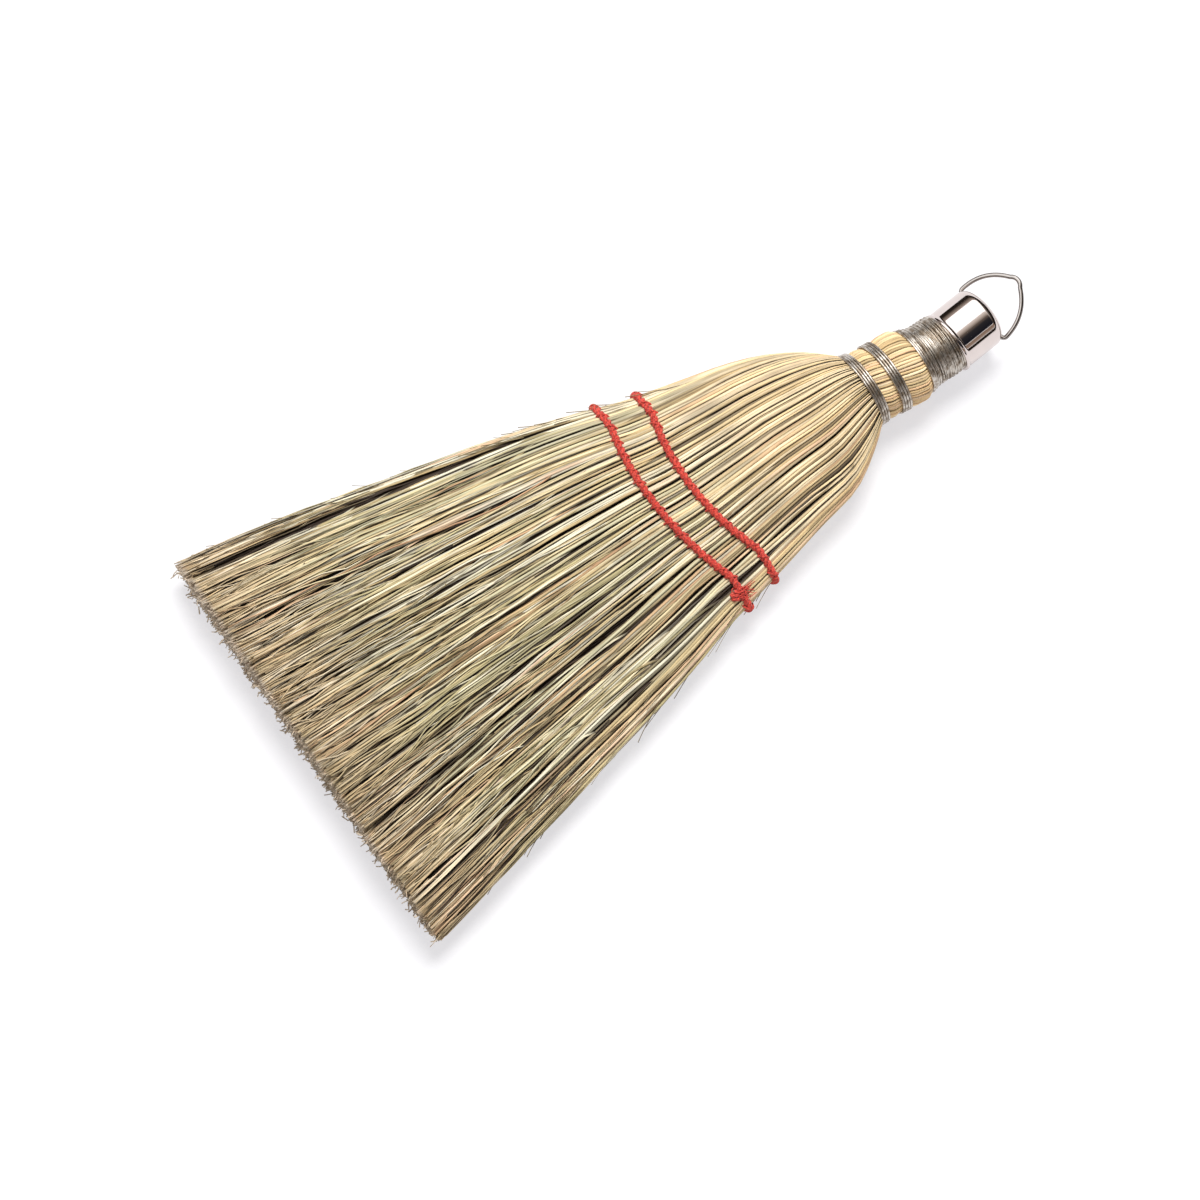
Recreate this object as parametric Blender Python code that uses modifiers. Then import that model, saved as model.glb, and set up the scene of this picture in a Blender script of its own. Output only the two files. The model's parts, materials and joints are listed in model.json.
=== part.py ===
"""Corn whisk broom with two sewn rows, three wire windings, a metal cap and a hanging ring.

The broom lies on its flat side. X runs from the cut tips to the ring, Y goes across the fan
and Z points up. Every length is in metres. While the pieces are made, X is the distance from
the tips and Z the height over the table. At the end the whole broom is moved so that the
origin lies under the middle of its box.
"""
import math

import bmesh
import bpy
import numpy as np
from mathutils import Vector

# Clearances
FIT_GAP = 0.0003
TABLE_CUT = 0.0005
PIN_CLEARANCE = 0.0003

# Straw fan, from the tips up to the neck
TIP_WIDTH = 0.179
TIP_THICKNESS = 0.024
SPREAD_WIDTH = 0.1405
SPREAD_FROM_TIPS = 0.095
SEWN_WIDTH = 0.0955
SEWN_THICKNESS = 0.018
SEWN_FROM_TIPS = 0.172
SHOULDER_WIDTH = 0.058
SHOULDER_THICKNESS = 0.031
SHOULDER_FROM_TIPS = 0.236
FLARE_WIDTH = 0.044
FLARE_LENGTH = 0.0095

# How round the straw's cross-section is: 1 is an ellipse, 0 a rectangle
TIP_ROUNDNESS = 0.5
SEWN_ROUNDNESS = 0.85
SHOULDER_ROUNDNESS = 0.95
NECK_ROUNDNESS = 1.0

# Handfuls from the right edge (-Y) to the left, and layers from the back to the front, as shares
HANDFUL_SHARES = (1.0, 1.0, 1.0)
LAYER_SHARES = (2.0, 3.0, 2.0)
HANDFUL_FACETS = 3
LAYER_FACETS = 2
STRAW_STEP = 0.012

# Bound neck
NECK_FROM_TIPS = 0.2525
NECK_DIAMETER = 0.0295
NECK_TOP_DIAMETER = 0.0212
WINDING_FOOT_DIAMETER = 0.0271
LEAN_FROM_TIPS = 0.215
NECK_LEAN = math.radians(4.0)

# Binding wire
WIRE_DIAMETER = 0.0009
WIRE_TURN_GAP = 0.00042
BAND_TURNS = 3
LOWER_BAND_FROM_TIPS = 0.255
BAND_SPACING = 0.010
WINDING_FROM_TIPS = 0.277
WINDING_TURNS = 12
POINTS_PER_TURN = 12
WIRE_RESOLUTION = 0

# Sewing twine
TWINE_DIAMETER = 0.0028
LOWER_ROW_FROM_TIPS = 0.1635
ROW_SPACING = 0.0165
ROW_SLANT = math.radians(3.5)
ROW_TABLE_GAP = 0.0012
TWINE_POINTS = 40
TWINE_RESOLUTION = 2
OUTLINE_STEPS = 24
TAIL_DIAMETER = 0.0022
TAIL_LENGTH = 0.014
TAIL_POINTS = 8
TAIL_RESOLUTION = 1

# Metal cap
CAP_DIAMETER = 0.0250
CAP_LENGTH = 0.0168
CAP_WALL = 0.0006
CAP_SHOULDER_RADIUS = 0.0042
CAP_BEAD_RADIUS = 0.0008
CAP_BEAD_START = math.radians(68)
CAP_TILT = math.radians(5.4)
CAP_STEPS = 32
BORE_SIDES = 16

# Hanging ring
RING_WIRE = 0.0019
RING_REACH = 0.0196
RING_PIN_LENGTH = 0.0030
RING_CORNER_RADIUS = 0.0016
RING_APEX_RADIUS = 0.0036
RING_APEX_TURN = math.radians(38)
RING_BULGE = (0.62, 0.94)
RING_PIN_DEPTH = 0.0016
RING_RAISE = math.radians(28.0)
RING_RESOLUTION = 2

WIRE_PITCH = WIRE_DIAMETER + WIRE_TURN_GAP
CAP_INNER_RADIUS = CAP_DIAMETER / 2 - CAP_WALL
BAND_LENGTH = BAND_TURNS * WIRE_PITCH
UPPER_BAND_FROM_TIPS = LOWER_BAND_FROM_TIPS + BAND_SPACING
WINDING_END = WINDING_FROM_TIPS + WINDING_TURNS * WIRE_PITCH + WIRE_DIAMETER / 2
MOUTH_RADIUS = CAP_DIAMETER / 2 + CAP_BEAD_RADIUS
CAP_FROM_TIPS = WINDING_END + MOUTH_RADIUS * math.sin(CAP_TILT) + CAP_BEAD_RADIUS + FIT_GAP
STALK_END = CAP_FROM_TIPS + CAP_LENGTH - CAP_SHOULDER_RADIUS
NECK_MIDDLE_Z = NECK_DIAMETER / 2 + WIRE_DIAMETER + 3 * FIT_GAP
SEWN_MIDDLE_Z = SEWN_THICKNESS / 2 + TWINE_DIAMETER + 2 * FIT_GAP + ROW_TABLE_GAP

PARTS = "corn_broom"
CUTTERS = "cutters"


def clear_scene():
    for old in list(bpy.data.objects):
        bpy.data.objects.remove(old, do_unlink=True)


def new_collection(name):
    collection = bpy.data.collections.new(name)
    bpy.context.scene.collection.children.link(collection)
    return collection


def material(name, colour, roughness, metallic=0.0):
    made = bpy.data.materials.new(name)
    made.use_nodes = True
    shader = made.node_tree.nodes["Principled BSDF"]
    shader.inputs["Base Color"].default_value = (*colour, 1.0)
    shader.inputs["Roughness"].default_value = roughness
    shader.inputs["Metallic"].default_value = metallic
    made.diffuse_color = (*colour, 1.0)
    return made


def add_object(name, data, finish, parent):
    made = bpy.data.objects.new(name, data)
    data.materials.append(finish)
    parts.objects.link(made)
    made.parent = parent
    return made


def add_empty(name, parent=None):
    made = bpy.data.objects.new(name, None)
    parts.objects.link(made)
    made.parent = parent
    return made


# The straw's sections, each with its place, width, thickness, roundness and middle height


def middle_y(x):
    """Sideways place of the middle line: straight fan, leaning neck, cap turned back."""
    lean = -math.tan(NECK_LEAN) * max(0.0, min(x, CAP_FROM_TIPS) - LEAN_FROM_TIPS)
    return lean + math.tan(CAP_TILT) * max(0.0, x - CAP_FROM_TIPS)


def round_section(x, diameter):
    return (x, diameter, diameter, NECK_ROUNDNESS, NECK_MIDDLE_Z)


def straw_sections():
    """Sections of the straw in order, from the tips through the fan and the neck into the cap."""
    tip = (0.0, TIP_WIDTH, TIP_THICKNESS, TIP_ROUNDNESS, TIP_THICKNESS / 2 - TABLE_CUT)
    sewn = (SEWN_FROM_TIPS, SEWN_WIDTH, SEWN_THICKNESS, SEWN_ROUNDNESS, SEWN_MIDDLE_Z)
    share = SPREAD_FROM_TIPS / SEWN_FROM_TIPS
    spread = tuple(a + (b - a) * share for a, b in zip(tip, sewn))
    spread = (SPREAD_FROM_TIPS, SPREAD_WIDTH) + spread[2:]
    shoulder_z = SHOULDER_THICKNESS / 2 - TABLE_CUT
    shoulder = (SHOULDER_FROM_TIPS, SHOULDER_WIDTH, SHOULDER_THICKNESS, SHOULDER_ROUNDNESS, shoulder_z)
    flare_x = SHOULDER_FROM_TIPS + FLARE_LENGTH
    flare = (flare_x, FLARE_WIDTH, SHOULDER_THICKNESS, NECK_ROUNDNESS, shoulder_z)
    band_top = UPPER_BAND_FROM_TIPS + BAND_LENGTH / 2 + WIRE_DIAMETER
    return [
        tip,
        spread,
        sewn,
        shoulder,
        flare,
        round_section(NECK_FROM_TIPS, NECK_DIAMETER),
        round_section(band_top, NECK_DIAMETER),
        round_section(WINDING_FROM_TIPS, WINDING_FOOT_DIAMETER),
        round_section(WINDING_END, NECK_TOP_DIAMETER),
        round_section(CAP_FROM_TIPS + CAP_BEAD_RADIUS, 2 * (CAP_INNER_RADIUS - FIT_GAP)),
        round_section(STALK_END, 2 * (CAP_INNER_RADIUS - FIT_GAP)),
    ]


def section_at(x):
    """The straw's section at any distance from the tips, between the two nearest of the list."""
    sections = straw_sections()
    places = [section[0] for section in sections]
    sizes = [np.interp(x, places, [section[k] for section in sections]) for k in range(1, 5)]
    return (x, *sizes)


def straw_stations():
    """Distances from the tips of the listed sections, and of even steps between far ones."""
    places = [section[0] for section in straw_sections()]
    stations = []
    for low, high in zip(places, places[1:]):
        steps = max(1, round((high - low) / STRAW_STEP))
        stations += list(np.linspace(low, high, steps, endpoint=False))
    return stations + [places[-1]]


def on_section(section, across, through):
    """A point of a section: across and through run from -1 to 1, and the corners are rounded."""
    x, width, thickness, roundness, middle_z = section
    y = middle_y(x) + width / 2 * across * math.sqrt(1 - roundness * through**2 / 2)
    z = middle_z + thickness / 2 * through * math.sqrt(1 - roundness * across**2 / 2)
    return Vector((x, y, z))


# Bundles of straw


def straw_block(stations):
    """A straight block: a grid of the handful's facets, carried one unit up for each station."""
    bm = bmesh.new()
    bmesh.ops.create_grid(bm, x_segments=HANDFUL_FACETS, y_segments=LAYER_FACETS, size=0.5)
    top = bm.faces[:]
    for step in range(1, stations):
        grown = bmesh.ops.extrude_face_region(bm, geom=top, use_keep_orig=True)["geom"]
        if step > 1:
            bmesh.ops.delete(bm, geom=top, context="FACES")
        for vert in (item for item in grown if isinstance(item, bmesh.types.BMVert)):
            vert.co.z = step
        top = [item for item in grown if isinstance(item, bmesh.types.BMFace)]
    return bm


def inset(edges, share, size):
    """A place between two edges, where each edge beside a neighbour gives up half the fitting gap.

    A round section's corners are narrower than its middle by the root of a half, so the gap is
    divided by that.
    """
    half_gap = FIT_GAP / math.sqrt(0.5) / size
    low = edges[0] + (half_gap if edges[0] > -1 else 0.0)
    high = edges[1] - (half_gap if edges[1] < 1 else 0.0)
    return low + (high - low) * share


def cut_by_table(bm):
    """Cuts off what reaches under the table, and closes each cut."""
    everything = bm.verts[:] + bm.edges[:] + bm.faces[:]
    bmesh.ops.bisect_plane(
        bm, geom=everything, dist=1e-7, plane_co=(0, 0, 0), plane_no=(0, 0, 1), clear_inner=True
    )
    rim = [edge for edge in bm.edges if edge.is_boundary]
    bmesh.ops.holes_fill(bm, edges=rim)


def make_bundle(name, across, through):
    """A handful of straw from its cut tips to its end in the cap, between two edges each way."""
    stations = straw_stations()
    bm = straw_block(len(stations))
    for vert in bm.verts:
        section = section_at(stations[round(vert.co.z)])
        u = inset(across, vert.co.x + 0.5, section[1])
        v = inset(through, vert.co.y + 0.5, section[2])
        vert.co = on_section(section, u, v)
    if through[0] == -1:
        cut_by_table(bm)
    many_sided = [face for face in bm.faces if len(face.verts) > 4]
    bmesh.ops.triangulate(bm, faces=many_sided, ngon_method="BEAUTY")
    bmesh.ops.recalc_face_normals(bm, faces=bm.faces)
    mesh = bpy.data.meshes.new(name)
    bm.to_mesh(mesh)
    bm.free()
    return add_object(name, mesh, straw, broom)


def edges_of(shares):
    """Pairs of edges, from -1 to 1, of neighbours with these shares of the whole."""
    edges = [2 * sum(shares[:k]) / sum(shares) - 1 for k in range(len(shares))] + [1]
    return zip(edges, edges[1:])


def make_straw():
    sides = ("right", "middle", "left")
    layers = ("back_cover", "inside", "front_cover")
    for layer, through in zip(layers, edges_of(LAYER_SHARES)):
        for side, across in zip(sides, edges_of(HANDFUL_SHARES)):
            make_bundle(f"{layer}_{side}", across, through)


# Wire windings


def make_tube(name, points, diameter, resolution, finish, parent, closed=False):
    """A wire, cord or rod of one diameter along straight runs between its points."""
    curve = bpy.data.curves.new(name, "CURVE")
    curve.dimensions = "3D"
    curve.bevel_depth = diameter / 2
    curve.bevel_resolution = resolution
    curve.use_fill_caps = not closed
    spline = curve.splines.new("POLY")
    spline.points.add(len(points) - 1)
    for point, place in zip(spline.points, points):
        point.co = (*place, 1.0)
    spline.use_cyclic_u = closed
    return add_object(name, curve, finish, parent)


def wire_coil(start, turns):
    """Points of a helix on the stalks, with a straight wire end of one diameter at each side."""
    points = []
    corner = math.cos(math.pi / POINTS_PER_TURN)
    for step in range(turns * POINTS_PER_TURN + 1):
        turn = step / POINTS_PER_TURN
        x = start + WIRE_PITCH * turn
        radius = (section_at(x)[2] / 2 + FIT_GAP + WIRE_DIAMETER / 2) / corner
        angle = 2 * math.pi * turn
        y = middle_y(x) + radius * math.sin(angle)
        points.append(Vector((x, y, NECK_MIDDLE_Z + radius * math.cos(angle))))
    first = (points[0] - points[1]).normalized() * WIRE_DIAMETER
    last = (points[-1] - points[-2]).normalized() * WIRE_DIAMETER
    return [points[0] + first] + points + [points[-1] + last]


def least_gap(points):
    """Least distance between the skins of a coil's turns, on several points of each straight run."""
    samples = 8
    line = np.array(points)
    share = np.linspace(0, 1, samples, endpoint=False)[None, :, None]
    dense = (line[:-1, None] * (1 - share) + line[1:, None] * share).reshape(-1, 3)
    apart = np.linalg.norm(dense[:, None] - dense[None], axis=2)
    index = np.arange(len(dense))
    near = np.abs(index[:, None] - index[None]) < samples * POINTS_PER_TURN // 2
    return apart[~near].min() - WIRE_DIAMETER


def make_windings():
    coils = {
        "lower_band_wire": (LOWER_BAND_FROM_TIPS - BAND_LENGTH / 2, BAND_TURNS),
        "upper_band_wire": (UPPER_BAND_FROM_TIPS - BAND_LENGTH / 2, BAND_TURNS),
        "neck_winding_wire": (WINDING_FROM_TIPS, WINDING_TURNS),
    }
    for name, (start, turns) in coils.items():
        points = wire_coil(start, turns)
        print(f"{name}: least gap to itself {1000 * least_gap(points):.3f} mm")
        make_tube(name, points, WIRE_DIAMETER, WIRE_RESOLUTION, wire, broom)


# Rows of sewing twine


def round_the_straw(row_from_tips, offset):
    """Points of one slanting loop, offset outwards from the straw and evenly spaced."""
    corners = ((-1, 1), (1, 1), (1, -1), (-1, -1), (-1, 1))
    outline = []
    for (u0, v0), (u1, v1) in zip(corners, corners[1:]):
        for step in range(OUTLINE_STEPS):
            share = step / OUTLINE_STEPS
            u = u0 + (u1 - u0) * share
            v = v0 + (v1 - v0) * share
            guess = on_section(section_at(row_from_tips), u, v)
            x = row_from_tips - math.tan(ROW_SLANT) * guess.y
            outline.append(on_section(section_at(x), u, v))
    path = np.array(outline)
    ahead = np.roll(path, -1, axis=0) - np.roll(path, 1, axis=0)
    outward = np.stack([np.zeros(len(path)), -ahead[:, 2], ahead[:, 1]], axis=1)
    outward /= np.linalg.norm(outward, axis=1)[:, None]
    path = path + offset * outward
    closed = np.vstack([path, path[:1]])
    along = np.concatenate([[0], np.cumsum(np.linalg.norm(np.diff(closed, axis=0), axis=1))])
    places = np.linspace(0, along[-1], TWINE_POINTS, endpoint=False)
    return [Vector([np.interp(place, along, closed[:, k]) for k in range(3)]) for place in places]


def make_rows():
    offset = TWINE_DIAMETER / 2 + 2 * FIT_GAP
    lower = round_the_straw(LOWER_ROW_FROM_TIPS, offset)
    upper = round_the_straw(LOWER_ROW_FROM_TIPS + ROW_SPACING, offset)
    make_tube("lower_twine_row", lower, TWINE_DIAMETER, TWINE_RESOLUTION, twine, broom, closed=True)
    make_tube("upper_twine_row", upper, TWINE_DIAMETER, TWINE_RESOLUTION, twine, broom, closed=True)
    return lower


def make_tail(row):
    """The twine's loose end, beside the row's right edge and turned up towards the neck."""
    edge = min(row, key=lambda point: point.y)
    side = edge.y - (TWINE_DIAMETER + TAIL_DIAMETER) / 2 - FIT_GAP
    tail = []
    for share in np.linspace(0, 1, TAIL_POINTS):
        drift = TAIL_DIAMETER * share**2
        along = edge.x - TAIL_DIAMETER + TAIL_LENGTH * share
        tail.append(Vector((along, side + drift, edge.z + drift)))
    make_tube("twine_tail", tail, TAIL_DIAMETER, TAIL_RESOLUTION, twine, broom)


# Metal cap


def arc(middle, radius, start, end, steps):
    """Points of a round corner in the plane of the cap's profile."""
    angles = [start + (end - start) * step / steps for step in range(steps + 1)]
    return [(middle[0] + radius * math.cos(a), middle[1] + radius * math.sin(a)) for a in angles]


def cap_profile():
    """Half of the cap's section: from the closed end's middle, round the mouth, and back inside."""
    outer = CAP_DIAMETER / 2
    shoulder = CAP_SHOULDER_RADIUS
    middle = (outer - shoulder, CAP_LENGTH - shoulder)
    profile = [(0.0, CAP_LENGTH)]
    profile += arc(middle, shoulder, math.pi / 2, 0.0, 6)
    bead = (outer - CAP_WALL / 2, CAP_BEAD_RADIUS)
    profile += arc(bead, CAP_BEAD_RADIUS, CAP_BEAD_START, -math.pi / 2, 5)
    profile += [(CAP_INNER_RADIUS, 0.0)]
    profile += arc(middle, shoulder - CAP_WALL, 0.0, math.pi / 2, 4)
    profile += [(0.0, CAP_LENGTH - CAP_WALL)]
    return profile


def make_cap(seat):
    profile = cap_profile()
    mesh = bpy.data.meshes.new("handle_cap")
    edges = [(i, i + 1) for i in range(len(profile) - 1)]
    mesh.from_pydata([(r, 0, h) for r, h in profile], edges, [])
    cap = add_object("handle_cap", mesh, nickel, seat)
    cap.rotation_euler = (0, math.pi / 2, 0)
    turn = cap.modifiers.new("turned", "SCREW")
    turn.steps = CAP_STEPS
    turn.render_steps = CAP_STEPS
    turn.use_merge_vertices = True
    turn.merge_threshold = 0.00001
    bore = bpy.data.objects.new("pin_bore", cylinder_mesh(RING_WIRE / 2 + PIN_CLEARANCE, CAP_DIAMETER * 2))
    cutters.objects.link(bore)
    bore.parent = seat
    bore.location = (CAP_LENGTH - RING_PIN_DEPTH, 0, 0)
    bore.rotation_euler = (math.pi / 2, 0, 0)
    bore.hide_render = True
    bore.display_type = "WIRE"
    holes = cap.modifiers.new("pin_holes", "BOOLEAN")
    holes.operation = "DIFFERENCE"
    holes.solver = "EXACT"
    holes.object = bore


def cylinder_mesh(radius, length):
    bm = bmesh.new()
    bmesh.ops.create_cone(
        bm, cap_ends=True, segments=BORE_SIDES, radius1=radius, radius2=radius, depth=length
    )
    mesh = bpy.data.meshes.new("bore")
    bm.to_mesh(mesh)
    bm.free()
    return mesh


# Hanging ring


def ring_leg_y():
    """Where the ring's leg passes the cap's shoulder, a fitting gap outside it."""
    rise = CAP_SHOULDER_RADIUS - RING_PIN_DEPTH
    shoulder = CAP_DIAMETER / 2 - CAP_SHOULDER_RADIUS + math.sqrt(CAP_SHOULDER_RADIUS**2 - rise**2)
    return shoulder + FIT_GAP + RING_WIRE / 2


def ring_route():
    """Middle line of the ring in its own plane: a pin, a corner, an arched leg, and mirrored."""
    leg = ring_leg_y()
    corner = RING_CORNER_RADIUS
    pin_tip = leg - RING_WIRE / 2 - FIT_GAP - RING_PIN_LENGTH
    half = [(0.0, pin_tip), (0.0, (pin_tip + leg - corner) / 2)]
    half += [
        (corner - corner * math.cos(a), leg - corner + corner * math.sin(a))
        for a in np.linspace(0, math.pi / 2, 5)
    ]
    apex_middle = RING_REACH - RING_APEX_RADIUS
    meet = (
        apex_middle + RING_APEX_RADIUS * math.sin(RING_APEX_TURN),
        RING_APEX_RADIUS * math.cos(RING_APEX_TURN),
    )
    start = (corner, leg)
    bulge = (apex_middle * RING_BULGE[0], leg * RING_BULGE[1])
    for share in np.linspace(0, 1, 11)[1:-1]:
        a, b, c = (1 - share) ** 2, 2 * share * (1 - share), share**2
        half.append(tuple(a * start[k] + b * bulge[k] + c * meet[k] for k in range(2)))
    for angle in np.linspace(RING_APEX_TURN, math.pi / 2, 5):
        x = apex_middle + RING_APEX_RADIUS * math.sin(angle)
        half.append((x, RING_APEX_RADIUS * math.cos(angle)))
    whole = half + [(x, -y) for x, y in reversed(half[:-1])]
    return [Vector((x, y, 0)) for x, y in whole]


def make_ring(seat):
    hinge = add_empty("ring_hinge", seat)
    hinge.location = (CAP_LENGTH - RING_PIN_DEPTH, 0, 0)
    hinge.rotation_euler = (0, -RING_RAISE, 0)
    make_tube("hanging_ring", ring_route(), RING_WIRE, RING_RESOLUTION, nickel_ring, hinge)


def stand_on_origin():
    """Moves the broom so that the origin is under the middle of its box, at the table."""
    bpy.context.view_layer.update()
    graph = bpy.context.evaluated_depsgraph_get()
    low = Vector((1, 1, 1))
    high = Vector((-1, -1, -1))
    for piece in parts.objects:
        if piece.type == "EMPTY":
            continue
        ready = piece.evaluated_get(graph)
        for vert in ready.to_mesh().vertices:
            place = ready.matrix_world @ vert.co
            low = Vector(map(min, low, place))
            high = Vector(map(max, high, place))
        ready.to_mesh_clear()
    broom.location = (-(low.x + high.x) / 2, -(low.y + high.y) / 2, -low.z)


clear_scene()
parts = new_collection(PARTS)
cutters = new_collection(CUTTERS)
straw = material("straw", (0.62, 0.44, 0.22), 0.75)
wire = material("binding_wire", (0.42, 0.41, 0.39), 0.38, 1.0)
twine = material("red_twine", (0.62, 0.05, 0.03), 0.85)
nickel = material("bright_nickel", (0.80, 0.78, 0.74), 0.12, 1.0)
nickel_ring = material("bright_ring_wire", (0.72, 0.70, 0.67), 0.18, 1.0)

broom = add_empty("broom")
cap_seat = add_empty("cap_seat", broom)
cap_seat.location = (CAP_FROM_TIPS, middle_y(CAP_FROM_TIPS), NECK_MIDDLE_Z)
cap_seat.rotation_euler = (0, 0, CAP_TILT)

make_straw()
make_windings()
lower_row = make_rows()
make_tail(lower_row)
make_cap(cap_seat)
make_ring(cap_seat)
stand_on_origin()
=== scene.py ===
"""Looks of a corn whisk broom that lies on its flat side.

Lengths in the sections are in millimetres, and MM turns them into metres where a mesh is made.
A place along the broom is its distance from the cut tips, and the neck lies at the far end.
"""
import json
import math

import bmesh
import bpy
import numpy as np
from mathutils import Matrix, Vector


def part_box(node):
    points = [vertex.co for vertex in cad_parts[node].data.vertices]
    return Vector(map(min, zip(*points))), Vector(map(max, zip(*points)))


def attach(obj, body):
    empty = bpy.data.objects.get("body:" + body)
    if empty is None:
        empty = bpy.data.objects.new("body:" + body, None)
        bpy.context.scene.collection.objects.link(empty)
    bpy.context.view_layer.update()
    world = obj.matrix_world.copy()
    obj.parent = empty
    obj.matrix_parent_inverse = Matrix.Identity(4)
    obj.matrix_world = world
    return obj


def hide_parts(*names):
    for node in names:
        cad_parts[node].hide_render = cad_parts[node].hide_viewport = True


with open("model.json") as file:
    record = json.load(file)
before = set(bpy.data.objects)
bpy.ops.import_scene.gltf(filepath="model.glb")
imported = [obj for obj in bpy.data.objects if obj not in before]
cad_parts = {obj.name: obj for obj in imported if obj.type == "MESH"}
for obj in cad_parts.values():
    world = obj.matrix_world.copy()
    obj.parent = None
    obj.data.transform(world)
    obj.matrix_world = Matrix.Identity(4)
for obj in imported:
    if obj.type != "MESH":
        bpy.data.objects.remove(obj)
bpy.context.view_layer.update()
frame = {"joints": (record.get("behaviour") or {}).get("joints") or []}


# The straw's outline. A broom is tied from stalks that lie round in the neck and flat in the
# fan, so its section goes from a circle to a broad one with rounded corners. Each row of the
# table is one section, and all the straw below is laid out inside them.
MM = 0.001
TIPS_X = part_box("inside_middle")[0].x / MM
SECTIONS = np.array([
    # place, width, thickness, height of the middle, roundness
    (0, 174.0, 22.5, 11.9, 0.50),
    (23, 166.5, 22.0, 12.1, 0.52),
    (60, 152.0, 20.8, 12.5, 0.58),
    (95, 136.0, 19.5, 13.0, 0.65),
    (135, 117.5, 18.2, 13.5, 0.76),
    (172, 95.5, 17.8, 13.8, 0.85),
    (194, 84.0, 21.5, 14.2, 0.90),
    (209, 76.5, 25.5, 14.5, 0.93),
    (221, 70.5, 28.3, 15.0, 0.95),
    (231, 64.0, 30.2, 15.5, 0.96),
    (239, 55.0, 31.0, 15.9, 0.98),
    (246, 45.0, 31.0, 16.3, 0.99),
    (250, 38.5, 31.0, 16.4, 1.0),
    (253, 32.6, 30.8, 16.5, 1.0),
    (256, 28.8, 28.8, 16.55, 1.0),
    (259, 28.0, 28.0, 16.55, 1.0),
    (277, 24.0, 24.0, 16.55, 1.0),
    (312, 20.0, 20.0, 16.55, 1.0),
])
PLACES, WIDTHS, THICKS, MIDDLES, ROUNDNESS = SECTIONS.T
LEAN_FROM = 215
LEAN = math.radians(4.0)
CAP_FROM = 295.4
CAP_TURN = math.radians(5.4)
SHOULDER_SIDE = -1.1
SHOULDER_IN = (158, 178)
SHOULDER_OUT = (250, 228)
NECK_SIDE = -0.5
NECK_IN = (248, 262)
NECK_OUT = (293, 282)
TIP_SPREAD = 2.5
TIP_SPREAD_TO = 50


def eased(values, place, places=PLACES):
    """Cubic curve through the values at the places, each slope taken from the two neighbours."""
    slopes = np.gradient(values, places)
    k = np.clip(np.searchsorted(places, place) - 1, 0, len(places) - 2)
    step = places[k + 1] - places[k]
    t = np.clip((place - places[k]) / step, 0, 1)
    start = values[k] * (2 * t**3 - 3 * t**2 + 1) + step * slopes[k] * (t**3 - 2 * t**2 + t)
    end = values[k + 1] * (3 * t**2 - 2 * t**3) + step * slopes[k + 1] * (t**3 - t**2)
    return start + end


def smooth_step(value, low, high):
    """From nought at low to one at high: three squares of the share less two cubes of it."""
    t = np.clip((value - low) / (high - low), 0, 1)
    return t * t * (3 - 2 * t)


def middle_line(place):
    """Sideways place of the broom's middle: straight fan, leaning neck, cap turned back."""
    lean = -math.tan(LEAN) * np.maximum(0, np.minimum(place, CAP_FROM) - LEAN_FROM)
    shoulder = SHOULDER_SIDE * smooth_step(place, *SHOULDER_IN) * smooth_step(place, *SHOULDER_OUT)
    neck = NECK_SIDE * smooth_step(place, *NECK_IN) * smooth_step(place, *NECK_OUT)
    return lean + math.tan(CAP_TURN) * np.maximum(0, place - CAP_FROM) + shoulder + neck


def in_straw(place, across, through):
    """A point of the section at a place: across and through run from -1 to 1.

    Sideways it is half the width times across, drawn in at the corners by the roundness, and
    upwards half the thickness times through, drawn in alike.
    """
    roundness = eased(ROUNDNESS, place)
    spread = TIP_SPREAD * (across < 0) * np.clip(1 - place / TIP_SPREAD_TO, 0, 1)
    half_width = eased(WIDTHS, place) / 2 + spread
    half_thick = eased(THICKS, place) / 2
    y = middle_line(place) + half_width * across * np.sqrt(1 - roundness * through**2 / 2)
    z = eased(MIDDLES, place) + half_thick * through * np.sqrt(1 - roundness * across**2 / 2)
    return np.stack(np.broadcast_arrays(place + TIPS_X, y, z), axis=-1)


def unit(vectors):
    return vectors / np.linalg.norm(vectors, axis=-1, keepdims=True)


def sweep(path, outward, half_width, half_thick, sides, roll=0.0, closed=False):
    """Rings of points round a path, each an ellipse of the half sizes square to the path.

    A ring's point is the path's point plus the half width times the cosine along the cross
    direction, plus the half thickness times the sine along the outward one.
    """
    if closed:
        ahead = unit(np.roll(path, -1, axis=-2) - np.roll(path, 1, axis=-2))
    else:
        ahead = unit(np.gradient(path, axis=-2))
    cross = unit(np.cross(outward, ahead))
    outward = np.cross(ahead, cross)
    angle = 2 * np.pi * np.arange(sides) / sides + np.asarray(roll)[..., None, None]
    wide = (np.asarray(half_width)[..., None] * np.cos(angle))[..., None]
    thick = (np.asarray(half_thick)[..., None] * np.sin(angle))[..., None]
    return path[..., None, :] + wide * cross[..., None, :] + thick * outward[..., None, :]


def tube_faces(count, rings, sides, closed=False):
    """Quads between neighbouring rings, and one face over each open end."""
    ids = np.arange(count * rings * sides).reshape(count, rings, sides)
    near = ids if closed else ids[:, :-1]
    far = np.roll(ids, -1, axis=1) if closed else ids[:, 1:]
    corners = [near, np.roll(near, -1, axis=2), np.roll(far, -1, axis=2), far]
    quads = np.stack(corners, axis=-1).reshape(-1, 4)
    if closed:
        return [quads]
    return [quads, np.concatenate([ids[:, 0, ::-1], ids[:, -1]]).reshape(-1, sides)]


def placed(name, data):
    thing = bpy.data.objects.new(name, data)
    bpy.context.scene.collection.objects.link(thing)
    return thing


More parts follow.
